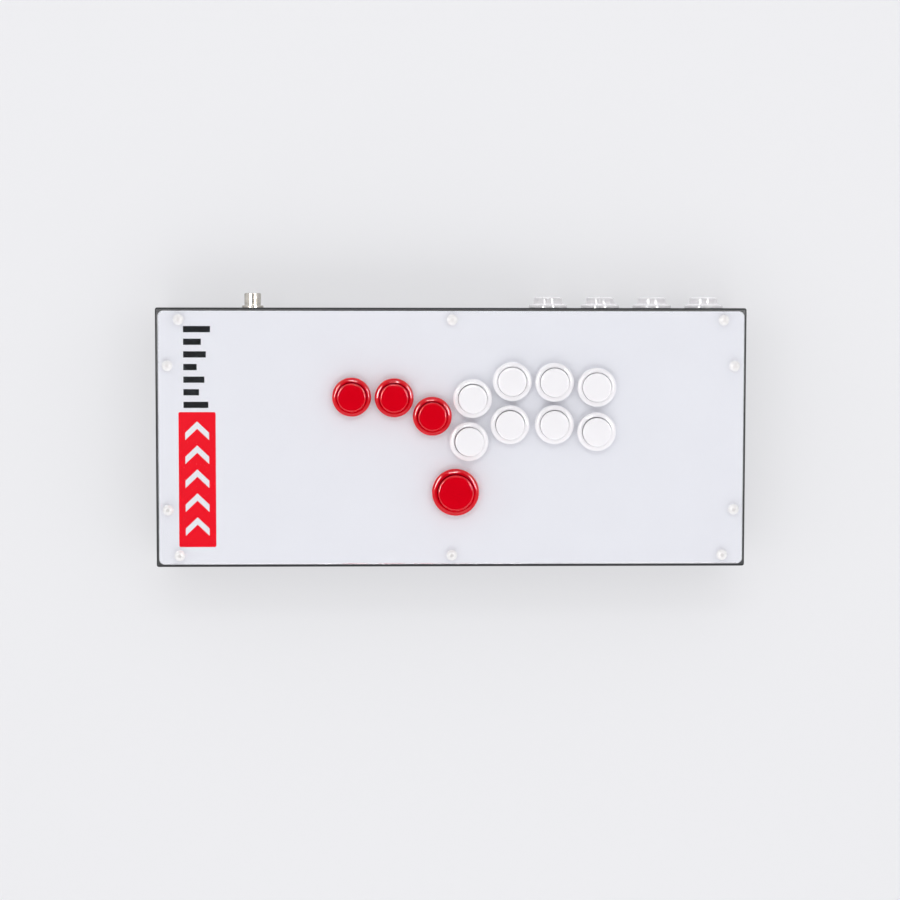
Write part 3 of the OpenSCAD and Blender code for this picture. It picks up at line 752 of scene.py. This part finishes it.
class CONTROLLER_OT_case(bpy.types.Operator):
    """Folds the steel case and lays its base plate"""

    bl_idname = "controller.case"
    bl_label = "Case and base plate"

    def execute(self, context):
        look = context.scene.controller_case
        powder = powder_coated_steel()
        low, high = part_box("case_shell")
        case = begin("cube", "folded_case", size=1.0, location=(low + high) / 2, scale=high - low)
        bpy.ops.object.mode_set(mode="EDIT")
        bpy.ops.mesh.select_all(action="SELECT")
        bpy.ops.mesh.bevel(offset=look.fold, segments=6, affect="EDGES")
        pick(case, "FACE", lambda face: face.normal.z < -0.99)
        bpy.ops.mesh.inset(thickness=look.flange - look.fold)
        bpy.ops.mesh.delete(type="FACE")
        bpy.ops.object.mode_set(mode="OBJECT")
        finish_with(
            case, "SOLIDIFY", thickness=look.sheet, offset=-1.0, use_even_offset=True,
            use_quality_normals=True,
        )

        deep = 6 * MM
        across = (pi / 2, 0, 0)
        wall_y, deck_z = high.y - look.sheet / 2, high.z - look.sheet / 2
        drills = []
        for name in BUTTONS:
            hole_r = button_radii(name)[1] + HOLE_PLAY
            centre = middle(name + "_housing")
            if name in REAR_BUTTONS:
                drills += rods([(centre.x, wall_y, centre.z)], hole_r, deep, across, 96)
            else:
                drills += rods([(centre.x, centre.y, deck_z)], hole_r, deep, sides=96)
        socket = middle("socket_shell")
        drills += rods([(socket.x, wall_y, socket.z)], socket_radii()[1] + HOLE_PLAY, deep, across)
        drills += rods(plan_places("cover_screws", deck_z), M4 / 2 + HOLE_PLAY, deep, sides=32)
        flange_z = low.z + look.sheet / 2
        drills += rods(plan_places("base_screws", flange_z), M3 / 2 + HOLE_PLAY, deep, sides=32)
        combine(case, drills, "DIFFERENCE")
        smooth(case)
        settle(case, "folded_case", "case", ["case_shell"], powder)

        low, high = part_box("base_plate")
        plate = slab("base_sheet", low, high, 3 * MM, 8)
        drills = []
        for node in ("base_screws", "foot_screws", "board_standoffs"):
            drills += rods(plan_places(node, low.z), M3 / 2 + HOLE_PLAY, deep, sides=32)
        combine(plate, drills, "DIFFERENCE")
        ease_edges(plate, 0.2 * MM)
        smooth(plate)
        settle(plate, "base_sheet", "case", ["base_plate"], powder)
        return {"FINISHED"}


class CONTROLLER_OT_cover(bpy.types.Operator):
    """Cuts the clear cover and prints the sheet under it"""

    bl_idname = "controller.cover"
    bl_label = "Clear cover and print"

    def execute(self, context):
        look = context.scene.controller_cover
        low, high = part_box("acrylic_cover")
        cover = self.panel("clear_cover", low, high, look)
        ease_edges(cover, look.polish, 1)
        smooth(cover, 20)
        settle(cover, "clear_cover", "case", ["acrylic_cover"], clear_cast_acrylic())

        low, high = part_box("art_sheet")
        top = low.z + 0.15 * MM
        ground = self.panel("printed_ground", low, Vector((high.x, high.y, top)), look)
        smooth(ground, 20)
        self.print_on(ground, "printed_ground", ["art_sheet"], "printed_vinyl", look.ground)

        # The print is a stack of bars over a block with chevrons, down the left-hand end
        middle_y = (low.y + high.y) / 2
        bars = []
        for i, share in enumerate(BAR_REACHES):
            foot = middle_y + BARS_TOP - BAR_PITCH * i
            end = BARS_LEFT + (BARS_RIGHT - BARS_LEFT) * share
            outline = [(BARS_LEFT, foot), (end, foot), (end, foot + BAR_H), (BARS_LEFT, foot + BAR_H)]
            bars.append(raised("ink", outline, top, top + INK))
        self.print_on(together(bars), "black_ink_bars", [], "black_screen_ink", look.black_ink)

        block_low = Vector((BLOCK_LOW[0], middle_y + BLOCK_LOW[1], top))
        block_high = Vector((BLOCK_HIGH[0], middle_y + BLOCK_HIGH[1], top + INK))
        block = slab("red_ink_block", block_low, block_high, 1.2 * MM, 6)
        self.print_on(block, "red_ink_block", [], "red_screen_ink", look.red_ink)

        centre = (block_low.x + block_high.x) / 2
        left, right = centre - CHEVRON_HALF, centre + CHEVRON_HALF
        chevrons = []
        for i in range(CHEVRONS):
            foot = block_low.y + CHEVRON_START + CHEVRON_PITCH * i
            under = [(left, foot), (centre, foot + CHEVRON_RISE), (right, foot)]
            outline = under + [(x, y + CHEVRON_THICK) for x, y in reversed(under)]
            chevrons.append(raised("ink", outline, top + INK, top + 2 * INK))
        chevrons = together(chevrons)
        self.print_on(chevrons, "white_ink_chevrons", [], "white_screen_ink", look.white_ink)
        return {"FINISHED"}

    def print_on(self, piece, name, nodes, ink, colour_of_ink):
        """Settles a piece of the print in its own ink."""
        settle(piece, name, "case", nodes, printed_vinyl(ink, colour_of_ink))

    def panel(self, name, low, high, look):
        """A plate as wide as the cover, with its holes for barrels and screws."""
        panel = slab(name, low, high, look.corner, 12)
        deep = high.z - low.z + 4 * MM
        middle_z = (low.z + high.z) / 2
        drills = []
        for button in BUTTONS:
            if button not in REAR_BUTTONS:
                centre = middle(button + "_housing")
                hole_r = button_radii(button)[1] + COVER_HOLE_PLAY
                drills += rods([(centre.x, centre.y, middle_z)], hole_r, deep, sides=96)
        drills += rods(plan_places("cover_screws", middle_z), M4 / 2 + HOLE_PLAY, deep, sides=32)
        combine(panel, drills, "DIFFERENCE")
        return panel


class CONTROLLER_OT_fasteners(bpy.types.Operator):
    """Turns the screws and places them"""

    bl_idname = "controller.fasteners"
    bl_label = "Screws and nuts"

    def execute(self, context):
        bright = plated_steel("zinc_plated_steel", "#d3d6da", "#9ea3a8", 0.24, 0.4)
        black = plated_steel("black_zinc_plated_steel", "#3a3b3e", "#1f2022", 0.32, 0.48)
        rows = (
            ("cover_screws", "painted", M4, M4_HEAD, "white_screw_paint", painted_steel()),
            ("base_screws", "black", M3, M3_HEAD, "black_zinc", black),
            ("foot_screws", "zinc", M3, M3_HEAD, "zinc_steel", bright),
            ("board_screws", "zinc", M3, M3_HEAD, "zinc_steel", bright),
        )
        for node, coat, thread, head, slot, finish in rows:
            screws = self.placed_screws(node, thread, *head)
            settle(screws, f"{coat}_{node}", "case", [node], finish)
        coat_nodes(bright, "cover_nuts", "base_nuts", "foot_nuts", "board_standoffs")
        return {"FINISHED"}

    def placed_screws(self, node, thread, head, head_h):
        """One screw copied to every solid of a node, with its head where the solid is widest."""
        solids = solid_boxes(node)
        long = max(high.z - low.z for low, high in solids) - head_h
        points = [v.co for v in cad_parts[node].data.vertices]
        ups, downs = [], []
        for low, high in solids:
            x, y = (low.x + high.x) / 2, (low.y + high.y) / 2
            near = [p for p in points if abs(p.x - x) < head and abs(p.y - y) < head]
            own = [p for p in near if low.z - MM / 10 < p.z < high.z + MM / 10]
            widest = max(((p.x - x) ** 2 + (p.y - y) ** 2, p.z) for p in own)[1]
            if widest > (low.z + high.z) / 2:
                ups.append(Matrix.Translation((x, y, high.z - head_h)))
            else:
                over = Matrix.Rotation(pi, 4, "X")
                downs.append(Matrix.Translation((x, y, low.z + head_h)) @ over)
        return together(copies(self.screw(thread, head, head_h, long), ups + downs))

    def screw(self, thread, head, head_h, long):
        """A button-head screw whose head stands on z = 0."""
        dome = (head * head / 4 + head_h * head_h) / (2 * head_h)
        spread = asin(head / 2 / dome)
        pitch, depth = 0.17 * thread, 0.1 * thread
        profile = [(0.0, -long), (thread / 2 - 0.3 * MM, -long)]
        ridge = -long + 0.3 * MM
        while ridge + pitch < -0.6 * MM:
            profile += [(thread / 2, ridge), (thread / 2 - depth, ridge + pitch / 2)]
            ridge += pitch
        profile += [(thread / 2, ridge), (thread / 2, 0.0)]
        profile += [(head / 2 - 0.1 * MM, 0.0), (head / 2, 0.12 * MM)]
        for i in range(1, 11):
            angle = spread * (1 - i / 10)
            point = (dome * sin(angle), head_h - dome + dome * cos(angle))
            if point[1] > 0.2 * MM:
                profile.append(point)
        screw = turn("screw", profile, 40)
        # The recess for the key is 1.3 mm deep
        recess = rods([(0.0, 0.0, head_h)], 0.36 * thread, 2 * 1.3 * MM, sides=6)
        combine(screw, recess, "DIFFERENCE")
        limit = {"limit_method": "ANGLE", "angle_limit": radians(48)}
        finish_with(screw, "BEVEL", width=0.08 * MM, segments=2, **limit)
        smooth(screw, 30)
        return screw


class CONTROLLER_OT_feet(bpy.types.Operator):
    """Moulds the rubber feet"""

    bl_idname = "controller.feet"
    bl_label = "Rubber feet"

    def execute(self, context):
        low, high = solid_boxes("rubber_feet")[0]
        wide, tall = (high.x - low.x) / 2, high.z - low.z
        face = wide - 1.0 * MM
        well, hole, floor = 3.4 * MM, M3 / 2 + HOLE_PLAY, 2.2 * MM
        profile = [(well, 0.3 * MM), (well + 0.3 * MM, 0.0)]
        # A shallow groove runs round the face near its edge
        profile += [(face - 3.0 * MM, 0.0), (face - 2.7 * MM, 0.35 * MM)]
        profile += [(face - 2.1 * MM, 0.35 * MM), (face - 1.8 * MM, 0.0), (face - 0.6 * MM, 0.0)]
        profile += arc(face - 0.6 * MM, 0.6 * MM, 0.6 * MM, -75, 0, 5)
        profile += [(wide, tall - 0.8 * MM)]
        profile += arc(wide - 0.3 * MM, tall - 0.3 * MM, 0.3 * MM, 0, 90, 4)
        profile += [(hole, tall), (hole, floor), (well, floor), (well, 0.3 * MM)]
        foot = turn("foot", profile, 72)
        smooth(foot)
        places = [Matrix.Translation(place) for place in plan_places("rubber_feet", low.z)]
        feet = together(copies(foot, places))
        settle(feet, "moulded_feet", "case", ["rubber_feet"], moulded_rubber())
        return {"FINISHED"}


class CONTROLLER_OT_buttons(bpy.types.Operator):
    """Moulds the rims and the plungers of the buttons"""

    bl_idname = "controller.buttons"
    bl_label = "Buttons"

    def execute(self, context):
        look = context.scene.controller_buttons
        white = moulded_abs("moulded_white_abs", look.white, [c * 0.985 for c in look.white])
        red = moulded_abs("moulded_red_abs", look.red, [c * 0.9 for c in look.red])
        small = [name for name in BUTTONS if name not in REAR_BUTTONS + LARGE_BUTTONS]
        for names, grip in ((small, FACE_GRIP), (LARGE_BUTTONS, FACE_GRIP), (REAR_BUTTONS, SHEET)):
            places = [button_place(name) for name in names]
            radii = button_radii(names[0])
            rims = copies(self.rim_and_barrel(look, radii, grip), places)
            off = [Vector((*PLAY.get(name, (0.0, 0.0)), 0.0)) * MM for name in names]
            off = [place @ Matrix.Translation(move) for place, move in zip(places, off)]
            caps = copies(self.plunger(look, radii), off)
            for name, rim, cap in zip(names, rims, caps):
                finish, slot = (red, "red_abs") if name in RED_BUTTONS else (white, "white_abs")
                settle(rim, name + "_rim_and_barrel", "case", [name + "_housing"], finish)
                settle(cap, name + "_cap", name, [name + "_plunger"], finish)
        return {"FINISHED"}

    def rim_and_barrel(self, look, radii, grip):
        """A housing: rim, barrel, snap clips, the plunger's slots and the collar of the switch."""
        rim_r, out_r, cap_r = radii
        in_r = cap_r + SLIDE_GAP
        crest = in_r + look.crest
        floor = BARREL_FLOOR - BARREL_LEN
        profile = [(STEM_HOLE_R, floor), (in_r - 0.6 * MM, floor)]
        profile += arc(in_r - 0.6 * MM, floor + 0.6 * MM, 0.6 * MM, -90, 0, 4)
        profile += [(in_r, RIM_H - 0.35 * MM), (in_r + 0.04 * MM, RIM_H - 0.2 * MM)]
        profile += [(in_r + 0.15 * MM, RIM_H - 0.08 * MM), (in_r + 0.28 * MM, RIM_H - 0.02 * MM)]
        # Highest just outside the bore, and falling in a curve to the edge
        for i in range(16):
            t = i / 16
            drop = look.fall * 2 * (1 - (1 - 0.75 * t * t) ** 0.5)
            profile.append((crest + t * (rim_r - crest), RIM_H * (1 - drop)))
        edge = RIM_H * (1 - look.fall)
        profile += [(rim_r - 0.08 * MM, edge + 0.04 * MM), (rim_r - 0.015 * MM, edge - 0.1 * MM)]
        profile += [(rim_r, edge - 0.3 * MM), (rim_r, 0.2 * MM), (rim_r - 0.2 * MM, 0.0)]
        profile += [(out_r + 0.2 * MM, 0.0), (out_r, -0.2 * MM), (out_r, -BARREL_LEN + 0.5 * MM)]
        profile += [(out_r - 0.5 * MM, -BARREL_LEN), (STEM_HOLE_R, -BARREL_LEN), (STEM_HOLE_R, floor)]
        housing = turn("housing", profile, 96)

        # Collar round the switch, with its pocket, and the two clips that grip the panel
        half_x, half_y, wall = 6.6 * MM, 3.45 * MM, 1.2 * MM
        top, foot = -BARREL_LEN + 0.2 * MM, -BARREL_LEN - COLLAR_H
        low = Vector((-half_x - wall, -half_y - wall, foot))
        collar = slab("collar", low, Vector((half_x + wall, half_y + wall, top)), 0.8 * MM, 3)
        combine(housing, [collar], "UNION")
        low = Vector((-half_x, -half_y, foot - MM))
        slots = [slab("pocket", low, Vector((half_x, half_y, -BARREL_LEN)))]
        shoulder, heel = -grip - 0.15 * MM, 2 * MM - BARREL_LEN
        outline = [(out_r - MM, shoulder), (out_r + 1.3 * MM, shoulder)]
        outline += [(out_r + 1.3 * MM, shoulder - MM), (out_r - 0.2 * MM, heel), (out_r - MM, heel)]
        for side in (1, -1):
            clip = raised("clip", outline, -3.5 * MM, 3.5 * MM)
            upright = Matrix.Rotation(pi / 2, 4, "X")
            clip.data.transform(Matrix.Rotation(side * pi / 2, 4, "Z") @ upright)
            ease_edges(clip, 0.15 * MM, 1)
            combine(housing, [clip], "UNION")
        slot_low = SKIRT_Z - TRAVEL - SLIDE_GAP
        slot_high = slot_low + TRAVEL + LUG_H + 2 * SLIDE_GAP
        half = LUG_W / 2 + SLIDE_GAP
        for side in (1, -1):
            start, end = sorted((side * (in_r - MM), side * (out_r + 2 * MM)))
            low = Vector((start, -half, slot_low))
            slots.append(slab("slot", low, Vector((end, half, slot_high))))
        combine(housing, slots, "DIFFERENCE")
        smooth(housing, 30)
        return housing

    def plunger(self, look, radii):
        """A plunger: crowned cap, hollow skirt, two lugs and the stem that works the switch."""
        _, out_r, r = radii
        top = RIM_H + PLUNGER_RISE
        edge, crown = look.cap_round, look.crown
        wall = PLUNGER_WALL
        tilt = 2 * crown / r
        centre_z = top - crown - edge
        dome_r, dome_z = r - edge + edge * sin(tilt), centre_z + edge * cos(tilt)
        profile = [(dome_r * k / 6, dome_z + (top - dome_z) * (1 - (k / 6) ** 2)) for k in range(6)]
        profile += arc(r - edge, centre_z, edge, 90 - tilt * 180 / pi, 0, 12)
        under = top - crown - wall
        tip = -BARREL_LEN - 0.6 * MM
        profile += [(r, SKIRT_Z + 0.2 * MM), (r - 0.2 * MM, SKIRT_Z)]
        profile += [(r - wall, SKIRT_Z), (r - wall, under - 0.6 * MM)]
        profile += arc(r - wall - 0.6 * MM, under - 0.6 * MM, 0.6 * MM, 15, 90, 4)
        profile += [(STEM_R + 0.6 * MM, under), (STEM_R, under - 0.6 * MM)]
        profile += [(STEM_R, tip + 0.6 * MM)]
        profile += arc(STEM_R - 0.6 * MM, tip + 0.6 * MM, 0.6 * MM, -15, -90, 4)
        profile += [(0.0, tip)]
        cap = turn("plunger", profile, 96)
        half = LUG_W / 2
        for side in (1, -1):
            start, end = sorted((side * (r - 0.8 * MM), side * (out_r - 0.3 * MM)))
            low, high = Vector((start, -half, SKIRT_Z)), Vector((end, half, SKIRT_Z + LUG_H))
            lug = slab("lug", low, high, 0.3 * MM, 2)
            combine(cap, [lug], "UNION")
        smooth(cap, 30)
        return cap


class CONTROLLER_OT_socket(bpy.types.Operator):
    """Turns the shell of the rear socket"""

    bl_idname = "controller.socket"
    bl_label = "Rear socket"

    def execute(self, context):
        nickel = nickel_plated_brass()
        low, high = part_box("socket_shell")
        centre = (low + high) / 2
        wall_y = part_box("case_shell")[1].y
        bore, thread = socket_radii()
        flange = (high.x - low.x) / 2
        reach, back = high.y - wall_y, low.y - wall_y
        flange_t, groove, pitch = 1.5 * MM, 0.16 * MM, 1.0 * MM
        profile = [(bore, reach - 0.35 * MM), (bore + 0.35 * MM, reach)]
        profile += [(thread - 0.6 * MM, reach), (thread, reach - 0.6 * MM)]
        # A smooth sleeve near the end and a shallow groove over the flange
        profile += [(thread, flange_t + 1.6 * MM), (thread - groove, flange_t + 1.4 * MM)]
        profile += [(thread - groove, flange_t + 0.6 * MM), (thread, flange_t + 0.4 * MM)]
        profile += [(thread, flange_t), (flange - 0.3 * MM, flange_t), (flange, flange_t - 0.3 * MM)]
        profile += [(flange, 0.0), (thread, 0.0)]
        ridge = -0.4 * MM
        while ridge - pitch > back + 0.5 * MM:
            profile += [(thread, ridge), (thread - 0.45 * MM, ridge - pitch / 2)]
            ridge -= pitch
        profile += [(thread, ridge), (thread - 0.4 * MM, back)]
        profile += [(bore, back), (bore, reach - 0.35 * MM)]
        shell = turn("socket", profile, 96)
        key_low = Vector((-0.9 * MM, bore - 0.2 * MM, reach - 1.6 * MM))
        key = slab("key", key_low, Vector((0.9 * MM, bore + 0.6 * MM, reach + MM)))
        combine(shell, [key], "DIFFERENCE")
        smooth(shell, 30)
        outwards = Matrix.Rotation(-pi / 2, 4, "X")
        shell.data.transform(Matrix.Translation((centre.x, wall_y, centre.z)) @ outwards)
        settle(shell, "turned_socket", "case", ["socket_shell"], nickel)
        coat_nodes(nickel, "socket_nut")
        nylon = moulded_plastic("moulded_black_nylon", "#131314", "#212123", 0.38, 0.5, 0.3)
        coat_nodes(nylon, "socket_insulator")
        coat_nodes(tinned_brass(), "socket_contacts", "switch_terminals")
        return {"FINISHED"}


class CONTROLLER_OT_works(bpy.types.Operator):
    """Finishes the switches, the circuit board and the wires"""

    bl_idname = "controller.works"
    bl_label = "Switches, board and wires"

    def execute(self, context):
        plastics = (
            ("moulded_black_phenolic", "#1b1b1d", "#2c2c2f", 0.42, 0.58, 0.25,
             ("action_switches", "move_switches", "rear_switches")),
            ("moulded_epoxy", "#17181b", "#25262a", 0.5, 0.64, 0.2, ("board_chips",)),
            ("moulded_ivory_nylon", "#dcd8cc", "#efece2", 0.36, 0.48, 0.3, ("board_header",)),
            ("moulded_natural_nylon", "#c9c9c4", "#e3e3df", 0.3, 0.42, 0.3, ("wire_receptacles",)),
        )
        for *recipe, nodes in plastics:
            coat_nodes(moulded_plastic(*recipe), *nodes)
        coat_nodes(glass_laminate_board(), "circuit_board")
        coat_nodes(wire_insulation("red_pvc_insulation", "#8f1414", "#b81c1c"), "signal_wires")
        black = wire_insulation("black_pvc_insulation", "#161617", "#28282a")
        coat_nodes(black, "ground_wires", "data_lead")
        return {"FINISHED"}


class CONTROLLER_PT_panel(bpy.types.Panel):
    """Lists the pieces of the controller and their settings"""

    bl_idname = "CONTROLLER_PT_panel"
    bl_label = "Arcade controller"
    bl_space_type = "VIEW_3D"
    bl_region_type = "UI"
    bl_category = "Controller"

    def draw(self, context):
        for group in SETTINGS:
            box = self.layout.box()
            settings = getattr(context.scene, group)
            for name in settings.__annotations__:
                box.prop(settings, name)
        for operator in OPERATORS:
            self.layout.operator(operator.bl_idname)


SETTINGS = {
    "controller_case": ControllerCaseSettings,
    "controller_cover": ControllerCoverSettings,
    "controller_buttons": ControllerButtonSettings,
    "controller_stage": ControllerStageSettings,
}
OPERATORS = (
    CONTROLLER_OT_stage,
    CONTROLLER_OT_case,
    CONTROLLER_OT_cover,
    CONTROLLER_OT_fasteners,
    CONTROLLER_OT_feet,
    CONTROLLER_OT_buttons,
    CONTROLLER_OT_socket,
    CONTROLLER_OT_works,
)
CLASSES = (*SETTINGS.values(), *OPERATORS, CONTROLLER_PT_panel)


def register():
    for made in CLASSES:
        bpy.utils.register_class(made)
    for name, group in SETTINGS.items():
        setattr(bpy.types.Scene, name, PointerProperty(type=group))


def unregister():
    for name in SETTINGS:
        delattr(bpy.types.Scene, name)
    for made in reversed(CLASSES):
        bpy.utils.unregister_class(made)


def main():
    register()
    for operator in OPERATORS:
        getattr(bpy.ops.controller, operator.bl_idname.split(".")[1])()


if __name__ == "__main__":
    main()
